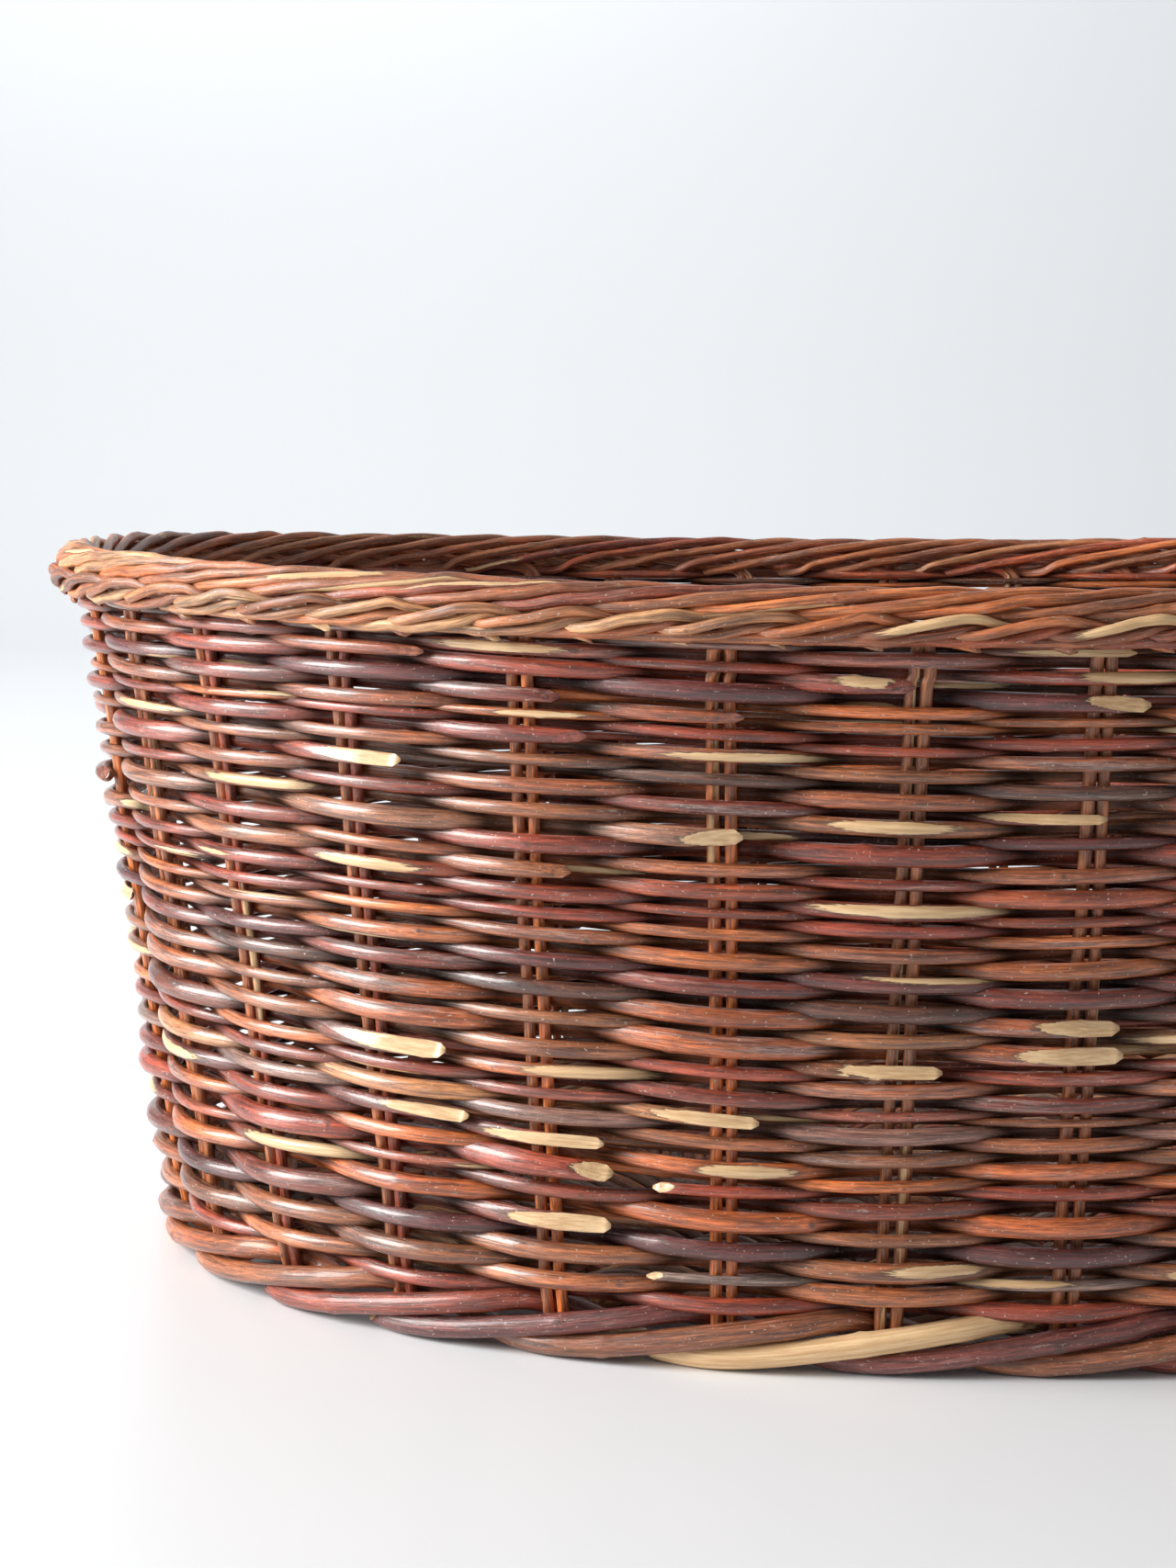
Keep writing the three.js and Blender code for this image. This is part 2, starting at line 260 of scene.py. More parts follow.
def make_rod(name, path, outward, radius, skin, slot, nodes,
             cuts=(None, None), sides=12, depth=None):
    """One rod as a closed tube.

    cuts holds (length, angle, pale) of a slanting cut at each end, or None. depth is how far the
    rod's middle lies out from the middle of the wall: shade is painted into the colour near it.
    """
    run = steps_along(path)
    length = run[-1]
    buds = skin.scatter(length)
    tangent = np.gradient(path, axis=0)
    tangent /= np.linalg.norm(tangent, axis=1, keepdims=True)
    normal = outward - (outward * tangent).sum(1, keepdims=True) * tangent
    normal /= np.linalg.norm(normal, axis=1, keepdims=True)
    side = np.cross(tangent, normal)
    theta = np.linspace(0, 2 * np.pi, sides, endpoint=False)
    rng = skin.rng
    sway = np.interp(run, np.linspace(0, length, SWAY_KNOTS), rng.normal(0, SWAY, SWAY_KNOTS))
    ring = radius[:, None] * (1 + sway[:, None]) * np.ones((1, sides))
    ring *= 1 + OVALNESS * np.cos(2 * theta + rng.uniform(0, np.pi))
    bud_field = np.zeros_like(ring)
    for at, angle in buds:
        near = np.exp(-(((run - at) / SWELLING_REACH) ** 2))[:, None]
        tight = np.exp(-(((run - at) / SCAR_REACH) ** 2))[:, None]
        facing = np.exp(-((wrapped(theta - angle) / SCAR_WIDTH) ** 2))[None, :]
        ring *= 1 + SWELLING * near
        ring += SCAR_HEIGHT * tight * facing
        bud_field = np.maximum(bud_field, tight * facing)
    bare_field = np.full_like(ring, ALL_BARK)
    for middle, patch_length, angle, width in skin.patches:
        reach = ((run - middle) / (patch_length / 2))[:, None] ** 2
        spread = (wrapped(theta - angle) / (width / 2))[None, :] ** 2
        bare_field = np.maximum(bare_field, 1 - np.sqrt(reach + spread))
    across = ring * np.cos(theta)
    beside = ring * np.sin(theta)
    for end, cut in enumerate(cuts):
        if cut is None:
            continue
        cut_length, angle, pale_cut = cut
        from_end = (run if end == 0 else length - run)[:, None]
        turned_across = across * np.cos(angle) + beside * np.sin(angle)
        turned_beside = beside * np.cos(angle) - across * np.sin(angle)
        near_end = from_end < cut_length * 1.05
        kept_across, kept_beside, hit, inside = slanting_cut(
            turned_across, turned_beside, ring, from_end, cut_length)
        hit = hit & near_end
        turned_across = np.where(hit, kept_across, turned_across)
        turned_beside = np.where(hit, kept_beside, turned_beside)
        across = turned_across * np.cos(angle) - turned_beside * np.sin(angle)
        beside = turned_beside * np.cos(angle) + turned_across * np.sin(angle)
        pale = np.clip(inside * CUT_CONTRAST - CUT_RIM, -0.2, 1.0) if pale_cut else -0.3
        bare_field = np.where(hit, pale, bare_field)
    to_end = np.clip(np.minimum(run, length - run) / (ROUNDED_RADII * radius), 0, 1)
    ends_round = np.maximum(np.sqrt(1 - (1 - to_end) ** 2), ROUNDED_LEAST)
    across *= ends_round[:, None]
    beside *= ends_round[:, None]
    points = (path[:, None, :] + across[..., None] * normal[:, None, :]
              + beside[..., None] * side[:, None, :])
    share = (run / length)[:, None, None]
    tint = skin.ends[0] * (1 - share) + skin.ends[1] * share
    tint = np.broadcast_to(tint, points.shape)
    grey = np.full_like(ring, skin.grey)
    painted_crevice_light = np.ones_like(ring)
    # Painted shade: the colour is darkened near the middle of the wall's thickness, where crossing rods
    # shade each other.
    if depth is not None:
        out_of_painted_shade = np.clip((np.abs(depth[:, None] + across) - PAINTED_SHADE_FROM) / (PAINTED_SHADE_TO - PAINTED_SHADE_FROM), 0, 1)
        painted_crevice_light = PAINTED_SHADE_DEEPEST + (1 - PAINTED_SHADE_DEEPEST) * out_of_painted_shade
    start = rng.uniform(0, 4000)
    grain = np.stack([np.broadcast_to(run[:, None] + start, ring.shape), across, beside], axis=-1)
    marks = np.stack([bare_field, grey, bud_field], axis=-1)
    return tube_object(name, points, tint, grain, marks, painted_crevice_light, slot, nodes)


def tube_object(name, points, tint, grain, marks, painted_crevice_light, slot, nodes):
    """A closed tube from rings of points, with the fields that the bark material reads."""
    rings, sides = points.shape[:2]
    index = np.arange(rings * sides).reshape(rings, sides)
    right = np.roll(index, -1, axis=1)
    quads = np.stack([index[:-1], right[:-1], right[1:], index[1:]], axis=-1).reshape(-1, 4)
    caps = [index[0][::-1].tolist(), index[-1].tolist()]
    mesh = bpy.data.meshes.new(name)
    mesh.from_pydata((points.reshape(-1, 3) * MM).tolist(), [], quads.tolist() + caps)
    mesh.polygons.foreach_set("use_smooth", np.ones(len(mesh.polygons), bool))
    for field, values in (("tint", tint), ("grain", grain), ("marks", marks)):
        data = mesh.attributes.new(field, "FLOAT_VECTOR", "POINT").data
        data.foreach_set("vector", np.ascontiguousarray(values, dtype=np.float32).reshape(-1))
    # The painted crevice shade goes to the mesh as a factor on colour and gloss.
    data = mesh.attributes.new("painted_crevice_light", "FLOAT", "POINT").data
    data.foreach_set("value", np.ascontiguousarray(painted_crevice_light, dtype=np.float32).reshape(-1))
    mesh.update()
    piece = bpy.data.objects.new(name, mesh)
    bpy.context.collection.objects.link(piece)
    mesh.materials.append(MATERIALS[slot])
    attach(piece, "root")
    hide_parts(*nodes)
    return piece


# ---------------------------------------------------------------- materials

class Graph:
    """A short way to build a material's nodes."""

    def __init__(self, name):
        self.material = bpy.data.materials.new(name)
        self.material.use_nodes = True
        self.tree = self.material.node_tree
        self.shader = self.tree.nodes["Principled BSDF"]

    def node(self, kind, **settings):
        made = self.tree.nodes.new(kind)
        for key, value in settings.items():
            setattr(made, key, value)
        return made

    def put(self, socket, value):
        if isinstance(value, bpy.types.NodeSocket):
            self.tree.links.new(value, socket)
        else:
            socket.default_value = value

    def field(self, name):
        return self.node("ShaderNodeAttribute", attribute_name=name).outputs["Vector"]

    def math(self, operation, first, second=0.0, third=0.0, clamp=False):
        made = self.node("ShaderNodeMath", operation=operation, use_clamp=clamp)
        for socket, value in zip(made.inputs, (first, second, third)):
            self.put(socket, value)
        return made.outputs[0]

    def stretch(self, vector, scale):
        made = self.node("ShaderNodeVectorMath", operation="MULTIPLY")
        self.put(made.inputs[0], vector)
        self.put(made.inputs[1], scale)
        return made.outputs[0]

    def scaled(self, vector, factor):
        made = self.node("ShaderNodeVectorMath", operation="SCALE")
        self.put(made.inputs[0], vector)
        self.put(made.inputs["Scale"], factor)
        return made.outputs[0]

    def noise(self, vector, detail, roughness):
        made = self.node("ShaderNodeTexNoise")
        self.put(made.inputs["Vector"], vector)
        self.put(made.inputs["Scale"], 1.0)
        self.put(made.inputs["Detail"], detail)
        self.put(made.inputs["Roughness"], roughness)
        return made.outputs["Fac"]

    def ramp(self, value, low, high, to_low=0.0, to_high=1.0):
        made = self.node("ShaderNodeMapRange", interpolation_type="SMOOTHSTEP")
        for socket, number in zip(made.inputs, (value, low, high, to_low, to_high)):
            self.put(socket, number)
        return made.outputs[0]

    def mix(self, share, first, second, blend="MIX"):
        made = self.node("ShaderNodeMix", data_type="RGBA", blend_type=blend)
        self.put(made.inputs["Factor"], share)
        for socket, value in ((made.inputs[6], first), (made.inputs[7], second)):
            self.put(socket, value if isinstance(value, bpy.types.NodeSocket) else (*value, 1.0))
        return made.outputs[2]

    def parts(self, vector):
        made = self.node("ShaderNodeSeparateXYZ")
        self.put(made.inputs[0], vector)
        return made.outputs

    def bump(self, height, distance):
        made = self.node("ShaderNodeBump")
        self.put(made.inputs["Strength"], 1.0)
        self.put(made.inputs["Distance"], distance)
        self.put(made.inputs["Height"], height)
        return made.outputs[0]


WOOD_LIGHT = (0.90, 0.62, 0.33)
WOOD_DARK = (0.66, 0.39, 0.18)
WOOD_EDGE = (0.10, 0.045, 0.02)
GREY_BARK = (0.44, 0.36, 0.32)
GREY_CRACK = (0.09, 0.06, 0.052)
DUST = (0.34, 0.235, 0.165)
BLOOM = (0.50, 0.40, 0.34)
SPECK = (0.62, 0.50, 0.40)
BUD_SCAR = (0.045, 0.026, 0.02)
BLOTCH_TINT = (0.55, 0.38, 0.38)    # multiplies the bark
WARM_TINT = (1.75, 1.35, 1.0)
GLOSS_ROUGHNESS = 0.17
SPECULAR = 0.7
RELIEF = 0.0005                     # metres


def willow(name, roughness, coat, dust):
    """Willow bark: long streaks, blotches, greyed and bare patches, bud scars and a thin gloss."""
    graph = Graph(name)
    grain = graph.field("grain")
    tint = graph.field("tint")
    bare, grey, bud = graph.parts(graph.field("marks"))
    streak = graph.noise(graph.stretch(grain, (0.045, 0.9, 0.9)), 4.0, 0.6)
    fine = graph.noise(graph.stretch(grain, (0.22, 3.2, 3.2)), 2.0, 0.6)
    blotch = graph.noise(graph.stretch(grain, (0.035, 0.16, 0.16)), 3.0, 0.6)
    patchy = graph.noise(graph.stretch(grain, (0.016, 0.30, 0.30)), 4.0, 0.65)
    shade = graph.ramp(streak, 0.32, 0.68, 0.45, 1.75)
    shade = graph.math("MULTIPLY", shade, graph.ramp(fine, 0.25, 0.8, 0.62, 1.4))
    bark = graph.scaled(tint, shade)
    blotched = graph.mix(1.0, bark, BLOTCH_TINT, "MULTIPLY")
    bark = graph.mix(graph.ramp(blotch, 0.50, 0.68, 0.0, 0.7), bark, blotched)
    warm = graph.mix(1.0, bark, WARM_TINT, "MULTIPLY")
    bark = graph.mix(graph.ramp(patchy, 0.55, 0.72, 0.0, 0.6), bark, warm)
    greyed = graph.math("MULTIPLY_ADD", grey, 0.36, patchy)
    grey_share = graph.ramp(greyed, 0.66, 0.86, 0.0, 0.8)
    silvery = graph.ramp(graph.math("MULTIPLY", streak, fine), 0.16, 0.36)
    silver = graph.mix(silvery, GREY_CRACK, GREY_BARK)
    bark = graph.mix(grey_share, bark, silver)
    dusty = graph.ramp(graph.math("ADD", fine, graph.math("MULTIPLY", blotch, 0.6)), 0.72, 1.12, 0.0, dust)
    bark = graph.mix(dusty, bark, DUST)
    bloom = graph.noise(graph.stretch(grain, (0.11, 0.5, 0.5)), 5.0, 0.7)
    bark = graph.mix(graph.ramp(bloom, 0.60, 0.72, 0.0, 0.5), bark, BLOOM)
    specks = graph.noise(graph.stretch(grain, (0.8, 1.1, 1.1)), 2.0, 0.5)
    bark = graph.mix(graph.ramp(specks, 0.67, 0.73, 0.0, 0.75), bark, SPECK)
    bark = graph.mix(graph.ramp(bud, 0.35, 0.8, 0.0, 0.7), bark, BUD_SCAR)
    wood = graph.mix(graph.ramp(streak, 0.32, 0.66), WOOD_LIGHT, WOOD_DARK)
    ragged = graph.math("MULTIPLY_ADD", graph.math("SUBTRACT", fine, 0.5), 0.7, bare)
    bare_share = graph.ramp(ragged, -0.02, 0.10)
    edge_share = graph.ramp(ragged, -0.22, -0.02, 0.0, 0.6)
    colour = graph.mix(edge_share, bark, WOOD_EDGE)
    colour = graph.mix(bare_share, colour, wood)
    # Painted shade: the base colour is darkened in the crevices between rods.
    painted_crevice_light = graph.node("ShaderNodeAttribute", attribute_name="painted_crevice_light").outputs["Fac"]
    graph.put(graph.shader.inputs["Base Color"], graph.scaled(colour, painted_crevice_light))
    rough = graph.ramp(fine, 0.2, 0.85, roughness - 0.10, roughness + 0.16)
    rough = graph.math("MULTIPLY_ADD", grey_share, 0.14, rough)
    rough = graph.math("MULTIPLY_ADD", bare_share, 0.18, rough, clamp=True)
    graph.put(graph.shader.inputs["Roughness"], rough)
    # The painted crevice shade also dims the coat and the specular reflection.
    graph.put(graph.shader.inputs["Coat Weight"], graph.math("MULTIPLY", painted_crevice_light, coat))
    graph.put(graph.shader.inputs["Specular IOR Level"], graph.math("MULTIPLY", painted_crevice_light, SPECULAR))
    graph.put(graph.shader.inputs["Coat Roughness"], GLOSS_ROUGHNESS)
    height = graph.math("MULTIPLY_ADD", streak, 0.9, graph.math("MULTIPLY", fine, 0.5))
    height = graph.math("MULTIPLY_ADD", bare_share, -0.5, height)
    graph.put(graph.shader.inputs["Normal"], graph.bump(height, RELIEF))
    return graph.material


FINISHES = {                        # roughness, coat and dust
    "side_willow": (0.34, 0.80, 0.05),
    "stake_willow": (0.46, 0.25, 0.40),
    "foot_willow": (0.40, 0.45, 0.12),
    "base_weave_willow": (0.55, 0.0, 0.30),
    "base_stick_willow": (0.58, 0.0, 0.30),
}
MATERIALS = {slot: willow(slot, *finish) for slot, finish in FINISHES.items()}


# ---------------------------------------------------------------- side weave

SIDE_SEED = 864
SIDE_SHARES = {
    "mahogany": 7,
    "orange": 2.7,
    "purple": 2.4,
    "brown": 3.5,
    "umber": 1.2,
    "grey": 0.9,
    "tan": 0.7,
}
SIDE_BANDS = ("side_weave_lower", "side_weave_middle", "side_weave_upper")

# How the courses rise and fall, in mm
HEIGHT_NOISE = 0.7
SMOOTHINGS = 2
DRIFT = 2.0
DRIFT_LEVELS = 7

# How thick the rods are. A butt is a rod's thick end.
BUTT_RADII = (2.2, 3.6)
TIP_RADII = (1.1, 1.7)
TAPER_POWER = 0.8
LOW_THICKNESS = 1.12        # times as thick as usual at the foot
THINNING = 0.24             # less than that at the border
THIN_COURSES = ((15.0, 2.2), (29.0, 2.6), (45.0, 1.4), (52.0, 1.5))     # middle and reach
THIN_LOSS = 0.34            # of the thickness, in the middle of those bands

# How a course is shared out. Reaches and leads are in pair pitches.
TWO_ROD_SHARE = 0.55        # of the courses; the others have three rods
START_OUTSIDE_SHARE = 0.15  # of the joins
JOIN_SCATTER = 1.2
LEAD_OUTSIDE = 0.42
LEAD_BEHIND = 0.12
START_SCATTER = 0.05
SHORT_OF_JOIN = 0.86
FREE_REACHES = (0.1, 0.5)

# Free ends and peeled strips
CUT_LENGTHS = (14, 50)
SHORT_CUT = 9.0
START_CUT_LENGTHS = (5, 10)
END_CUT_ANGLES = (-0.7, 0.4)
START_CUT_ANGLES = (-0.8, 0.8)
PALE_END_SHARE = 0.6        # of the rods would show a long pale cut, the others a short dark one
END_THINNING = 0.30
END_LIFTS = (-0.9, 0.9)
STRIP_RATE = 0.10           # the chance of a strip at each pair that a rod passes in front of
STRIP_SCATTER = 0.3
STRIP_REACHES = (0.2, 0.65)
STRIP_ANGLES = (-0.6, 0.2)
STRIP_WIDTHS = (1.3, 2.6)


class SideRod:
    """One weaver: the places where it starts and ends, and its thickness between them."""

    def __init__(self, rng, course, first_join, last_join,
                 starts_outside, ends_outside, reach, cut):
        self.course = course
        self.starts_outside = starts_outside
        self.ends_outside = ends_outside
        self.first_join = first_join
        self.last_join = last_join
        lead = LEAD_OUTSIDE if starts_outside else LEAD_BEHIND
        self.start = first_join - lead + rng.uniform(-START_SCATTER, START_SCATTER)
        self.end = last_join + (reach if ends_outside else -SHORT_OF_JOIN)
        self.cut = cut
        self.pale = rng.random() < PALE_END_SHARE
        if not self.pale:
            self.cut = min(cut, SHORT_CUT)
        thin = sum(math.exp(-((course - middle) / band) ** 2) for middle, band in THIN_COURSES)
        slim = (1 - THIN_LOSS * min(thin, 1.0)) * (LOW_THICKNESS - THINNING * course / SIDE_COURSES)
        self.butt = rng.uniform(*BUTT_RADII) * slim
        self.tip = rng.uniform(*TIP_RADII) * slim
        self.butt_last = ends_outside or rng.random() < 0.5

    def radius_at(self, place):
        share = np.clip((place - self.start) / (self.end - self.start), 0, 1)
        if not self.butt_last:
            share = 1 - share
        return self.tip + (self.butt - self.tip) * share ** TAPER_POWER

    def offset_at(self, place):
        """In front of every other pair and behind the rest, with straight free ends."""
        sway = np.cos(np.pi * (place + self.course))
        if self.starts_outside:
            sway = np.where(place < self.first_join, 1.0, sway)
        else:
            sway = np.where(place < self.first_join + 1, -1.0, sway)
        if self.ends_outside:
            sway = np.where(place > self.last_join, 1.0, sway)
        else:
            sway = np.where(place > self.last_join - 1, -1.0, sway)
        return sway * (STAKE_RADIUS + self.radius_at(place) + 0.1)


def plan_side(rng):
    """Shares every course out among two or three rods. A join sits where the course is outside."""
    courses = []
    for course in range(SIDE_COURSES):
        count = 2 if rng.random() < TWO_ROD_SHARE else 3
        start = 2 * rng.integers(0, PAIRS // 2) + course % 2
        outside = [rng.random() < START_OUTSIDE_SHARE for _ in range(count)]
        outside.append(outside[0])
        gaps = [
            2 * round(PAIRS / count / 2 + rng.uniform(-JOIN_SCATTER, JOIN_SCATTER))
            for _ in range(count - 1)
        ]
        joins = [start, *(start + np.cumsum(gaps)), start + PAIRS]
        reaches = rng.uniform(*FREE_REACHES, count)
        lengths = rng.uniform(*CUT_LENGTHS, count)
        courses.append([
            SideRod(rng, course, joins[i], joins[i + 1], outside[i], not outside[i + 1],
                    reaches[i], lengths[i])
            for i in range(count)
        ])
    return courses


def stack_side(rng, courses):
    """Heights of every course between the pairs, each rod on the one below it, and how far the
    rods have to swell to fill the wall."""
    middles = np.arange(PAIRS) + 0.5
    radii = np.zeros((SIDE_COURSES, PAIRS))
    for course, rods in enumerate(courses):
        for rod in rods:
            for turn in (-PAIRS, 0, PAIRS):
                inside = (middles + turn >= rod.start) & (middles + turn <= rod.end)
                radii[course, inside] = rod.radius_at(middles[inside] + turn)
        missing = radii[course] == 0
        radii[course, missing] = radii[course, ~missing].mean()
    rises = np.vstack([radii[:1], radii[1:] + radii[:-1]])
    heights = np.cumsum(rises, axis=0)
    swell = (SIDE_TOP - SIDE_BOTTOM) / (heights[-1] + radii[-1])
    heights *= swell
    heights += SIDE_BOTTOM + rng.normal(0, HEIGHT_NOISE, heights.shape)
    for _ in range(SMOOTHINGS):
        heights = (np.roll(heights, 1, axis=1) + 2 * heights + np.roll(heights, -1, axis=1)) / 4
    heights += drift(rng)
    return heights, swell.mean() * SNUGNESS


def drift(rng):
    """The slow rise and fall that whole bands of courses share; none at the foot and the border."""
    levels = np.linspace(0, SIDE_COURSES - 1, DRIFT_LEVELS)
    knots = rng.normal(0, DRIFT, (DRIFT_LEVELS, PAIRS))
    knots = (np.roll(knots, 1, axis=1) + knots + np.roll(knots, -1, axis=1)) / 3
    knots[0] = 0
    knots[-1] = 0
    course = np.arange(SIDE_COURSES)
    return np.array([np.interp(course, levels, knots[:, pair]) for pair in range(PAIRS)]).T


def places_for(start, end, step):
    count = max(int(abs(end - start) * PAIR_PITCH / step), 6)
    return np.linspace(start, end, count)


def weave_side():
    rng = np.random.default_rng(SIDE_SEED)
    courses = plan_side(rng)
    heights, swell = stack_side(rng, courses)
    for rods in courses:
        for rod in rods:
            rod.butt *= swell
            rod.tip *= swell
    number = 0
    for course, rods in enumerate(courses):
        for rod in rods:
            place = places_for(rod.start, rod.end, RING_STEP)
            height = catmull_ring(heights[course], place - 0.5)
            if rod.ends_outside:
                free = np.clip(place - rod.last_join + 0.3, 0, 1)
                height += rng.uniform(*END_LIFTS) * free ** 2
            depth = rod.offset_at(place)
            path = wall(place, depth, height)
            run = steps_along(path)
            skin = Skin(rng, SIDE_SHARES, grey=0.27, bare=1.4, bright=0.94)
            peel_strips(rng, skin, rod, place, run)
            cuts = [None, None]
            radius = rod.radius_at(place)
            if rod.ends_outside:
                cuts[1] = (rod.cut, rng.uniform(*END_CUT_ANGLES), rod.pale)
                radius *= 1 - END_THINNING * np.clip(1 - (run[-1] - run) / (2.2 * rod.cut), 0, 1)
            if rod.starts_outside:
                cuts[0] = (rng.uniform(*START_CUT_LENGTHS), rng.uniform(*START_CUT_ANGLES), True)
            number += 1
            band = SIDE_BANDS[course * len(SIDE_BANDS) // SIDE_COURSES]
            # depth also places the painted shade in the crevices of the wall.
            make_rod(f"side_weaver_{number:03d}", path, outward_at(place), radius, skin,
                     "side_willow", [band], cuts, sides=14, depth=depth)


def peel_strips(rng, skin, rod, place, run):
    """Peeled strips on the front of a rod, near some of the pairs that it passes in front of."""
    for pair in range(math.ceil(rod.start), math.floor(rod.end) + 1):
        if (pair + rod.course) % 2 == 0 and rng.random() < STRIP_RATE:
            middle = pair + rng.uniform(-STRIP_SCATTER, STRIP_SCATTER)
            reach = rng.uniform(*STRIP_REACHES)
            first, last = np.interp([middle - reach, middle + reach], place, run)
            skin.add_patch((first + last) / 2, last - first,
                           rng.uniform(*STRIP_ANGLES), rng.uniform(*STRIP_WIDTHS))


# ---------------------------------------------------------------- stakes and border

# A stake's way through the border: distance beyond its own pair in half pair pitches, outward
# offset, and height above the border's base. It rises behind the plait, comes out and runs up over
# the top edge, goes down inside, passes out under the border and makes two loops low on the face.
LEFT_START = (
    (0.00, 0.0, -9.0),
    (0.00, 0.0, -3.0),
    (0.02, 0.0, 1.5),
    (0.14, 0.3, 4.6),
    (0.38, 1.8, 7.2),
    (0.68, 4.6, 8.6),
)
RIGHT_START = (
    (-1.00, 0.0, -9.0),
    (-1.00, 0.0, -3.0),
    (-0.96, -0.2, 0.6),
    (-0.80, -0.4, 3.0),
    (-0.45, -0.2, 4.6),
    (0.00, 0.8, 5.6),
    (0.45, 3.6, 7.6),
    (0.72, 5.6, 8.7),
)
BORDER_WAY = (
    (1.00, 7.6, 9.4),
    (1.30, 9.0, 10.0),
    (1.65, 9.3, 11.2),
    (1.95, 9.0, 12.3),
    (2.25, 8.2, 13.4),
    (2.60, 6.8, 14.3),
    (2.95, 5.0, 15.1),
    (3.30, 3.2, 15.8),
    (3.65, 1.2, 15.8),
    (4.15, -0.8, 14.9),
    (4.65, -2.4, 13.2),
    (5.15, -3.3, 11.0),
    (5.65, -3.6, 8.6),
    (6.10, -3.4, 6.2),
    (6.45, -2.6, 4.0),
    (6.75, -1.0, 2.4),
    (6.95, 1.4, 1.5),
    (7.20, 4.8, 1.5),
    (7.45, 7.6, 1.7),
    (7.70, 9.2, 1.7),
    (7.90, 9.8, 1.7),
    (8.20, 10.0, 2.5),
    (8.47, 9.8, 4.1),
    (8.65, 9.2, 5.2),
    (8.85, 7.8, 6.2),
    (9.05, 6.0, 6.1),
    (9.25, 4.2, 5.4),
    (9.42, 4.8, 4.5),
    (9.58, 7.4, 3.7),
    (9.75, 10.4, 3.5),
    (9.95, 12.0, 4.4),
    (10.22, 12.3, 6.1),
    (10.47, 12.1, 7.6),
    (10.70, 11.3, 8.5),
    (10.88, 10.1, 8.1),
    (11.05, 8.6, 7.1),
    (11.25, 7.0, 5.5),
    (11.42, 6.8, 3.8),
    (11.60, 7.8, 1.8),
    (11.75, 8.8, 0.2),
    (11.88, 9.4, -1.0),
)
STAKE_SEED = 4107
STAKE_SHARES = {"brown": 5, "tan": 2.2, "orange": 2.6, "mahogany": 3}
STAKE_STEP = 2.0            # between the rings of a stake
LEG_BRIGHTNESS = 1.35       # the leg is a little lighter than the border
BORDER_BRIGHTNESS = 0.80
WALL_FROM = 14.0            # height where a stake has turned up into the wall
BARE_ENDED_PAIRS = (18, 19)     # the last part of their left stakes is peeled
UPRIGHT_ROWS = 24
WANDER = 0.25               # mm, of each stake from the way that they share
# The lower end of a stake: distance inside the wall, height, and half the gap to its twin.
LEG_WAY = ((42.0, 11.5, 5.6), (30.0, 11.0, 5.4), (18.0, 8.6, 4.8), (9.0, 6.0, 3.6), (3.5, 5.0, 2.9))


def stake_path(rng, pair, side, shift):
    """Leg in the base, upright in the wall, and the plaited end in the border."""
    gap = STAKE_HALF_GAP * rng.uniform(0.86, 1.12)
    leg_rows = np.array(LEG_WAY)
    leg = wall(pair + shift[0], -leg_rows[:, 0], leg_rows[:, 1])
    leg += along_at(pair) * (leg_rows[:, 2:] * side)
    heights = np.linspace(9.0, BORDER_BASE - 12.0, UPRIGHT_ROWS)
    lean = shift[0] + (shift[1] - shift[0]) * heights / RIM_HEIGHT
    upright = wall(pair + lean, 0.35 * np.sin(heights / 11), heights)
    sway = 0.35 * np.sin(heights / rng.uniform(25, 50) + rng.uniform(0, 6))
    upright += along_at(pair) * (gap * side + sway)[:, None]
    start = LEFT_START if side < 0 else RIGHT_START
    rows = np.array(start + BORDER_WAY)
    knots = np.arange(0, len(rows) - 1 + 0.01, 0.2)
    way = catmull(rows, knots)
    wander = rng.normal(0, WANDER, (len(rows), 2)) * (rows[:, :1] > 0.9)
    way[:, 1:] += catmull(wander, knots)
    # The stakes that enter by themselves would meet a pair where they pass under the border.
    dodge = 0.45 * np.exp(-(((way[:, 0] - 6.9) / 0.55) ** 2)) * (side > 0)
    turn = 0.5 * (way[:, 0] - dodge + (side > 0))
    place = pair + shift[1] * np.clip(1 - turn / 2, 0, 1) + turn
    border = wall(place, way[:, 1], BORDER_BASE + way[:, 2])
    held = np.clip(1 - (way[:, 2] + 3) / 6, 0, 1) * (turn < 0.2)
    border += along_at(pair) * (gap * side * held + sway[-1] * held)[:, None]
    rough = np.vstack([leg, upright, border])
    keep = np.concatenate([[True], np.linalg.norm(np.diff(rough, axis=0), axis=1) > 0.4])
    rough = rough[keep]
    run = steps_along(rough)
    return catmull_by_run(rough, run, np.linspace(0, run[-1], int(run[-1] / STAKE_STEP)))


def catmull_by_run(rows, run, at):
    """A smooth curve through rows, read at distances along it."""
    numbers = np.interp(at, run, np.arange(len(rows)))
    return catmull(rows, numbers)


# The stake pairs that the photograph shows aren't evenly spaced: how far each one stands to the
# right of its even place, in mm, at the foot and at the rim.
PAIR_SHIFTS = {
    18: (-3, 0),
    19: (-6.5, -9),
    20: (-8, -7),
    21: (-5, -1),
    22: (0, 5.5),
    23: (-0.5, 8),
    24: (4, 6.5),
}


def stake_pair_shift(rng, pair):
    """Foot and rim shift of a pair along the wall, in pair pitches."""
    usual = rng.normal(0, 3.5, 2) + rng.normal(0, 2.0)
    return np.array(PAIR_SHIFTS.get(pair, tuple(usual))) / PAIR_PITCH


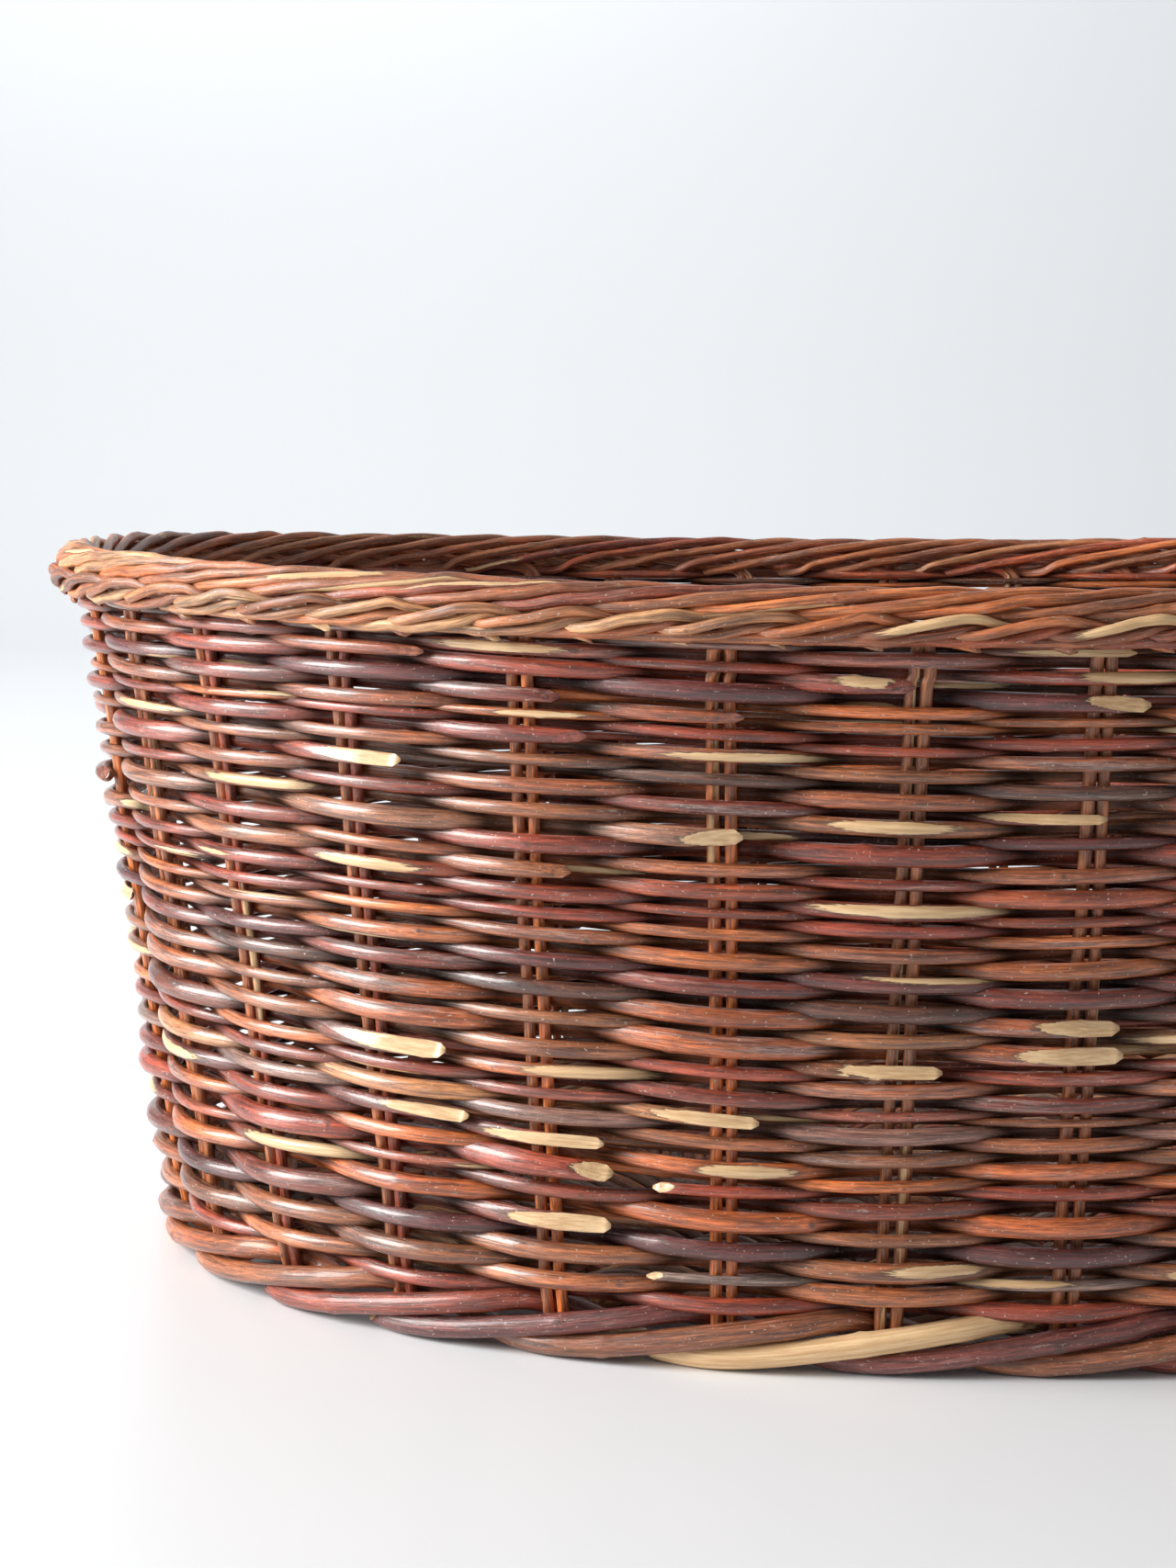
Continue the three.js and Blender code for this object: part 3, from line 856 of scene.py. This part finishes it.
def stand_stakes():
    rng = np.random.default_rng(STAKE_SEED)
    for pair in range(PAIRS):
        shift = stake_pair_shift(rng, pair)
        for side in (-1, 1):
            radius = STAKE_RADIUS * rng.uniform(0.92, 1.08)
            path = stake_path(rng, pair, side, shift)
            tangent = np.gradient(path, axis=0)
            tangent /= np.linalg.norm(tangent, axis=1, keepdims=True)
            # The reference turns with the bend at the foot: down in the leg, outward above it.
            rise = np.clip(tangent @ UP, 0, 1)[:, None]
            on_wall = path[:, 2:3] > WALL_FROM
            local = outward_by_angle(np.arctan2(path[:, 1], path[:, 0]))
            reference = np.where(on_wall, local, outward_at(pair) * rise - UP * (1 - rise))
            run = steps_along(path)
            thickness = radius * np.interp(run, [0, 60, 300, run[-1]], [0.9, 1.05, 1.0, 0.88])
            skin = Skin(rng, STAKE_SHARES, grey=0.16, bare=5.0, buds=50.0)
            skin.ends *= [[LEG_BRIGHTNESS], [BORDER_BRIGHTNESS]]
            if side < 0 and pair in BARE_ENDED_PAIRS:
                skin.add_patch(run[-1] - 40.0, 44.0, -0.2, 3.0)
            name = f"stake_{pair + 1:02d}_{'left' if side < 0 else 'right'}"
            angle = rng.uniform(0, 2 * np.pi)
            cut = (rng.uniform(5, 11), angle, True)
            make_rod(name, path, reference, thickness, skin, "stake_willow",
                     [f"stake_pair_{pair + 1}", "rim_border"], (None, cut))


def outward_by_angle(angle):
    """The level outward direction for points seen at these angles from the middle."""
    turns = np.mod(angle, 2 * np.pi)
    middle = unit_oval(TURN) * WALL_MIDDLE_HALF
    seen = np.unwrap(np.arctan2(middle[:, 1], middle[:, 0]))
    place = np.interp(turns, seen, WALKED / PAIR_PITCH)
    return outward_at(place)


# ---------------------------------------------------------------- foot wale

# One stroke of a heavy rod: place, outward offset and height. It repeats every three pairs.
WALE_STROKE = (
    (0.00, -6.5, 13.0),
    (0.35, -3.2, 7.6),
    (0.60, 2.4, 4.6),
    (0.90, 6.4, 4.3),
    (1.25, 7.4, 5.8),
    (1.65, 7.4, 9.0),
    (2.05, 6.8, 12.4),
    (2.45, 4.6, 15.6),
    (2.75, -0.5, 16.8),
)
WALE_STEP = 3
WALE_SEED = 77
WALE_RODS = ((0, 6), (6, 5), (11, 6), (17, 5), (22, 5), (27, 5))    # first stroke and how many
WALE_LEAST_RADIUS = 3.7
WALE_EXTRA_RADIUS = 0.8     # at the butt
PEELED_STROKE = 7           # the stroke with no bark left
WALE_SHARES = {"mahogany": 5, "purple": 5, "brown": 2, "umber": 2, "orange": 0.5}


def wale_way(place):
    """Offset and height of the wale at a place, from the stroke that it belongs to."""
    rows = np.array(WALE_STROKE)
    knots = np.concatenate([rows[:, 0] - WALE_STEP, rows[:, 0], rows[:, 0] + WALE_STEP])
    offsets = np.tile(rows[:, 1:], (3, 1))
    local = np.mod(place, WALE_STEP)
    numbers = np.interp(local, knots, np.arange(len(knots)))
    return catmull(offsets, numbers)


def lay_wale():
    rng = np.random.default_rng(WALE_SEED)
    for number, (first, strokes) in enumerate(WALE_RODS, 1):
        start = WALE_STEP * first + 0.55
        end = WALE_STEP * (first + strokes) + 0.25
        place = places_for(start, end, RING_STEP)
        way = wale_way(place)
        share = np.linspace(0, 1, len(place))
        if number % 2:
            share = 1 - share
        radius = WALE_LEAST_RADIUS + WALE_EXTRA_RADIUS * share
        height = np.maximum(way[:, 1], radius + 0.1)
        path = wall(place, way[:, 0], height)
        skin = Skin(rng, WALE_SHARES, grey=0.15, bare=1.0)
        if first <= PEELED_STROKE < first + strokes:
            peel = WALE_STEP * PEELED_STROKE
            from_run, to_run = np.interp([peel + 0.2, peel + 2.9], place, steps_along(path))
            skin.add_patch((from_run + to_run) / 2, to_run - from_run, -0.2, 6.0)
        make_rod(f"foot_wale_rod_{number}", path, outward_at(place), radius, skin,
                 "foot_willow", ["foot_wale"], ((9.0, -0.6, True), None), sides=16)


# ---------------------------------------------------------------- base

STICK_HEIGHT = 12.4
LONG_STICKS = 7
LONG_PITCH = 6.0
LONG_RADIUS = 2.5
CROSS_STICKS = 9
CROSS_PITCH = 21.0
CROSS_RADIUS = 3.7
HUB_HALF = (92.0, 29.0)      # where the sticks start to spread
MAT_HALF = FOOT_HALF - 15.0
STICK_SEED = 55
BASE_SEED = 31
BASE_COURSES = 37
BASE_ROD_LENGTH = 620       # about, before a new rod takes over
BASE_RING_STEP = 3.4
FIRST_THIN_COURSES = 6      # the first courses are woven with thinner rods
BASE_SHARES = {"brown": 4, "umber": 3, "mahogany": 2, "grey": 2.5, "tan": 1}


def stick_ray(pair):
    """The half stick that points to a stake pair: its start, bend and end, and its radius."""
    end = unit_at(float(pair)) * MAT_HALF
    quarter = PAIRS // 4
    folded = (pair + quarter // 2) % (2 * quarter) - quarter // 2
    half_turn = (pair + quarter // 2) // (2 * quarter)
    flip = 1 if half_turn % 2 == 0 else -1
    if abs(folded) <= LONG_STICKS // 2:
        start = np.array([flip * HUB_HALF[0], flip * folded * LONG_PITCH])
        direction = np.array([flip, 0.0])
        radius = LONG_RADIUS
    else:
        across = folded - quarter
        start = np.array([-flip * across * CROSS_PITCH, flip * HUB_HALF[1]])
        direction = np.array([0.0, flip])
        radius = CROSS_RADIUS
    bend = start + direction * np.linalg.norm(end - start) * 0.4
    return start, bend, end, radius


def ray_point(ray, share):
    start, bend, end, _ = ray
    share = np.asarray(share, float)[..., None]
    return start * (1 - share) ** 2 + 2 * bend * share * (1 - share) + end * share ** 2


def lay_sticks(rays):
    rng = np.random.default_rng(STICK_SEED)
    shares = np.linspace(0, 1, 26)
    half = PAIRS // 2
    jobs = []
    for index in range(LONG_STICKS):
        side = index - LONG_STICKS // 2
        jobs.append((f"long_stick_{index + 1}", side % PAIRS, (half - side) % PAIRS))
    for index in range(CROSS_STICKS):
        side = index - CROSS_STICKS // 2
        top = PAIRS // 4 - side
        jobs.append((f"cross_stick_{index + 1}", top, (PAIRS - top) % PAIRS))
    for node, first, last in jobs:
        flat = np.vstack([ray_point(rays[last], shares)[::-1], ray_point(rays[first], shares)])
        run = steps_along(flat)
        flat = catmull_by_run(flat, run, np.linspace(0, run[-1], int(run[-1] / 4)))
        path = np.column_stack([flat, np.full(len(flat), STICK_HEIGHT)])
        full = rays[first][3]
        ends = np.abs(np.linspace(-1, 1, len(path)))
        radius = full * (1 - 0.16 * ends ** 2)
        if full == CROSS_RADIUS:
            near = np.exp(-((np.abs(path[:, 1]) / 26.0) ** 4))
            radius = radius * (1 + 0.22 * near)
        skin = Skin(rng, BASE_SHARES, grey=0.5, bare=1.0)
        make_rod(node + "_rod", path, np.broadcast_to(UP, path.shape), radius, skin,
                 "base_stick_willow", [node])


def weave_base(rays):
    rng = np.random.default_rng(BASE_SEED)
    stick_radius = np.array([ray[3] for ray in rays])
    number = 0
    for course in range(BASE_COURSES):
        share = course / (BASE_COURSES - 1)
        ring = np.array([ray_point(ray, share) for ray in rays])
        around = np.linalg.norm(np.roll(ring, -1, axis=0) - ring, axis=1).sum()
        count = max(1, round(around / BASE_ROD_LENGTH))
        start = rng.integers(0, PAIRS)
        for part in range(count):
            first = start + PAIRS * part / count - 0.25
            last = start + PAIRS * (part + 1) / count + 0.25
            places = np.linspace(first, last, max(int(around / count / BASE_RING_STEP), 24))
            flat = catmull_ring(ring, places)
            thin = 0.92 if course < FIRST_THIN_COURSES else 1.0
            radius = np.linspace(2.5, 2.0, len(places)) * thin
            sway = np.cos(np.pi * (places + course))
            reach = catmull_ring(stick_radius, places) * 0.92 + radius
            path = np.column_stack([flat, STICK_HEIGHT + sway * reach])
            number += 1
            skin = Skin(rng, BASE_SHARES, grey=0.4, bare=0.6)
            make_rod(f"base_weaver_{number:02d}", path, np.broadcast_to(UP, path.shape), radius,
                     skin, "base_weave_willow", ["base_weave"], sides=8)


# ---------------------------------------------------------------- camera, light and floor

CAMERA_PLACE = (-168.6, -1052.1, 285.3)
CAMERA_ANGLES = (6.74, 0.218, 1.588)        # degrees down, of roll and to the right
CAMERA_LENS = 64.3
SENSOR_WIDTH = 36.0

# The floor, in metres
FLOOR_HALF_WIDTH = 30.0
FLOOR_FRONT = -30.0
BACKDROP_START = 3.0
BACKDROP_RADIUS = 1.5
BACKDROP_HEIGHT = 6.0
BACKDROP_STEPS = 12


def aim_camera():
    """The photograph's place and angle."""
    pitch, roll, yaw = (math.radians(angle) for angle in CAMERA_ANGLES)
    forward = np.array([
        math.sin(yaw) * math.cos(pitch), math.cos(yaw) * math.cos(pitch), -math.sin(pitch)])
    level = np.array([math.cos(yaw), -math.sin(yaw), 0.0])
    upright = np.cross(level, forward)
    right = math.cos(roll) * level + math.sin(roll) * upright
    top = math.cos(roll) * upright - math.sin(roll) * level
    data = bpy.data.cameras.new("camera")
    data.lens = CAMERA_LENS
    data.sensor_width = SENSOR_WIDTH
    data.clip_start = 0.02
    camera = bpy.data.objects.new("camera", data)
    place = np.array(CAMERA_PLACE) * MM
    columns = np.column_stack([right, top, -forward, place])
    camera.matrix_world = Matrix([*columns.tolist(), [0, 0, 0, 1]])
    bpy.context.collection.objects.link(camera)
    bpy.context.scene.camera = camera


def add_light(name, place, target, size, power, colour):
    data = bpy.data.lights.new(name, "AREA")
    data.shape = "RECTANGLE"
    data.size, data.size_y = size
    data.energy = power
    data.color = colour
    light = bpy.data.objects.new(name, data)
    place = np.array(place, float)
    back = place - np.array(target, float)
    back /= np.linalg.norm(back)
    side = np.cross(UP, back)
    side /= np.linalg.norm(side)
    columns = np.column_stack([side, np.cross(back, side), back, place])
    light.matrix_world = Matrix([*columns.tolist(), [0, 0, 0, 1]])
    light.visible_camera = False
    bpy.context.collection.objects.link(light)


def set_stage():
    """A plain pale floor that curves up into a backdrop far behind."""
    profile = [(FLOOR_FRONT, 0.0), (BACKDROP_START, 0.0)]
    for step in range(1, BACKDROP_STEPS + 1):
        angle = step / BACKDROP_STEPS * math.pi / 2
        profile.append((
            BACKDROP_START + BACKDROP_RADIUS * math.sin(angle),
            BACKDROP_RADIUS - BACKDROP_RADIUS * math.cos(angle),
        ))
    profile.append((BACKDROP_START + BACKDROP_RADIUS, BACKDROP_HEIGHT))
    vertices = [(x, y, z) for x in (-FLOOR_HALF_WIDTH, FLOOR_HALF_WIDTH) for y, z in profile]
    count = len(profile)
    faces = [(i, count + i, count + i + 1, i + 1) for i in range(count - 1)]
    mesh = bpy.data.meshes.new("floor")
    mesh.from_pydata(vertices, [], faces)
    mesh.polygons.foreach_set("use_smooth", np.ones(len(mesh.polygons), bool))
    floor = bpy.data.objects.new("floor", mesh)
    bpy.context.collection.objects.link(floor)
    graph = Graph("pale_floor")
    graph.put(graph.shader.inputs["Base Color"], (0.85, 0.87, 0.89, 1.0))
    graph.put(graph.shader.inputs["Roughness"], 0.34)
    graph.put(graph.shader.inputs["Specular IOR Level"], 0.35)
    mesh.materials.append(graph.material)


def set_light():
    world = bpy.data.worlds.new("studio")
    world.use_nodes = True
    background = world.node_tree.nodes["Background"]
    background.inputs["Color"].default_value = (0.95, 0.97, 1.0, 1.0)
    background.inputs["Strength"].default_value = 0.35
    bpy.context.scene.world = world
    add_light("window", place=(-2.4, -0.5, 1.25), target=(0.0, 0.0, 0.15), size=(1.5, 1.5),
              power=120.0, colour=(1.0, 0.99, 0.97))
    add_light("backdrop_light", place=(-0.8, 1.6, 2.8), target=(0.1, 4.4, 1.3), size=(3.0, 1.5),
              power=61.0, colour=(1.0, 1.0, 1.0))
    bpy.context.scene.view_settings.view_transform = "Standard"


aim_camera()
stick_rays = [stick_ray(pair) for pair in range(PAIRS)]
lay_sticks(stick_rays)
weave_base(stick_rays)
lay_wale()
weave_side()
stand_stakes()
set_stage()
set_light()
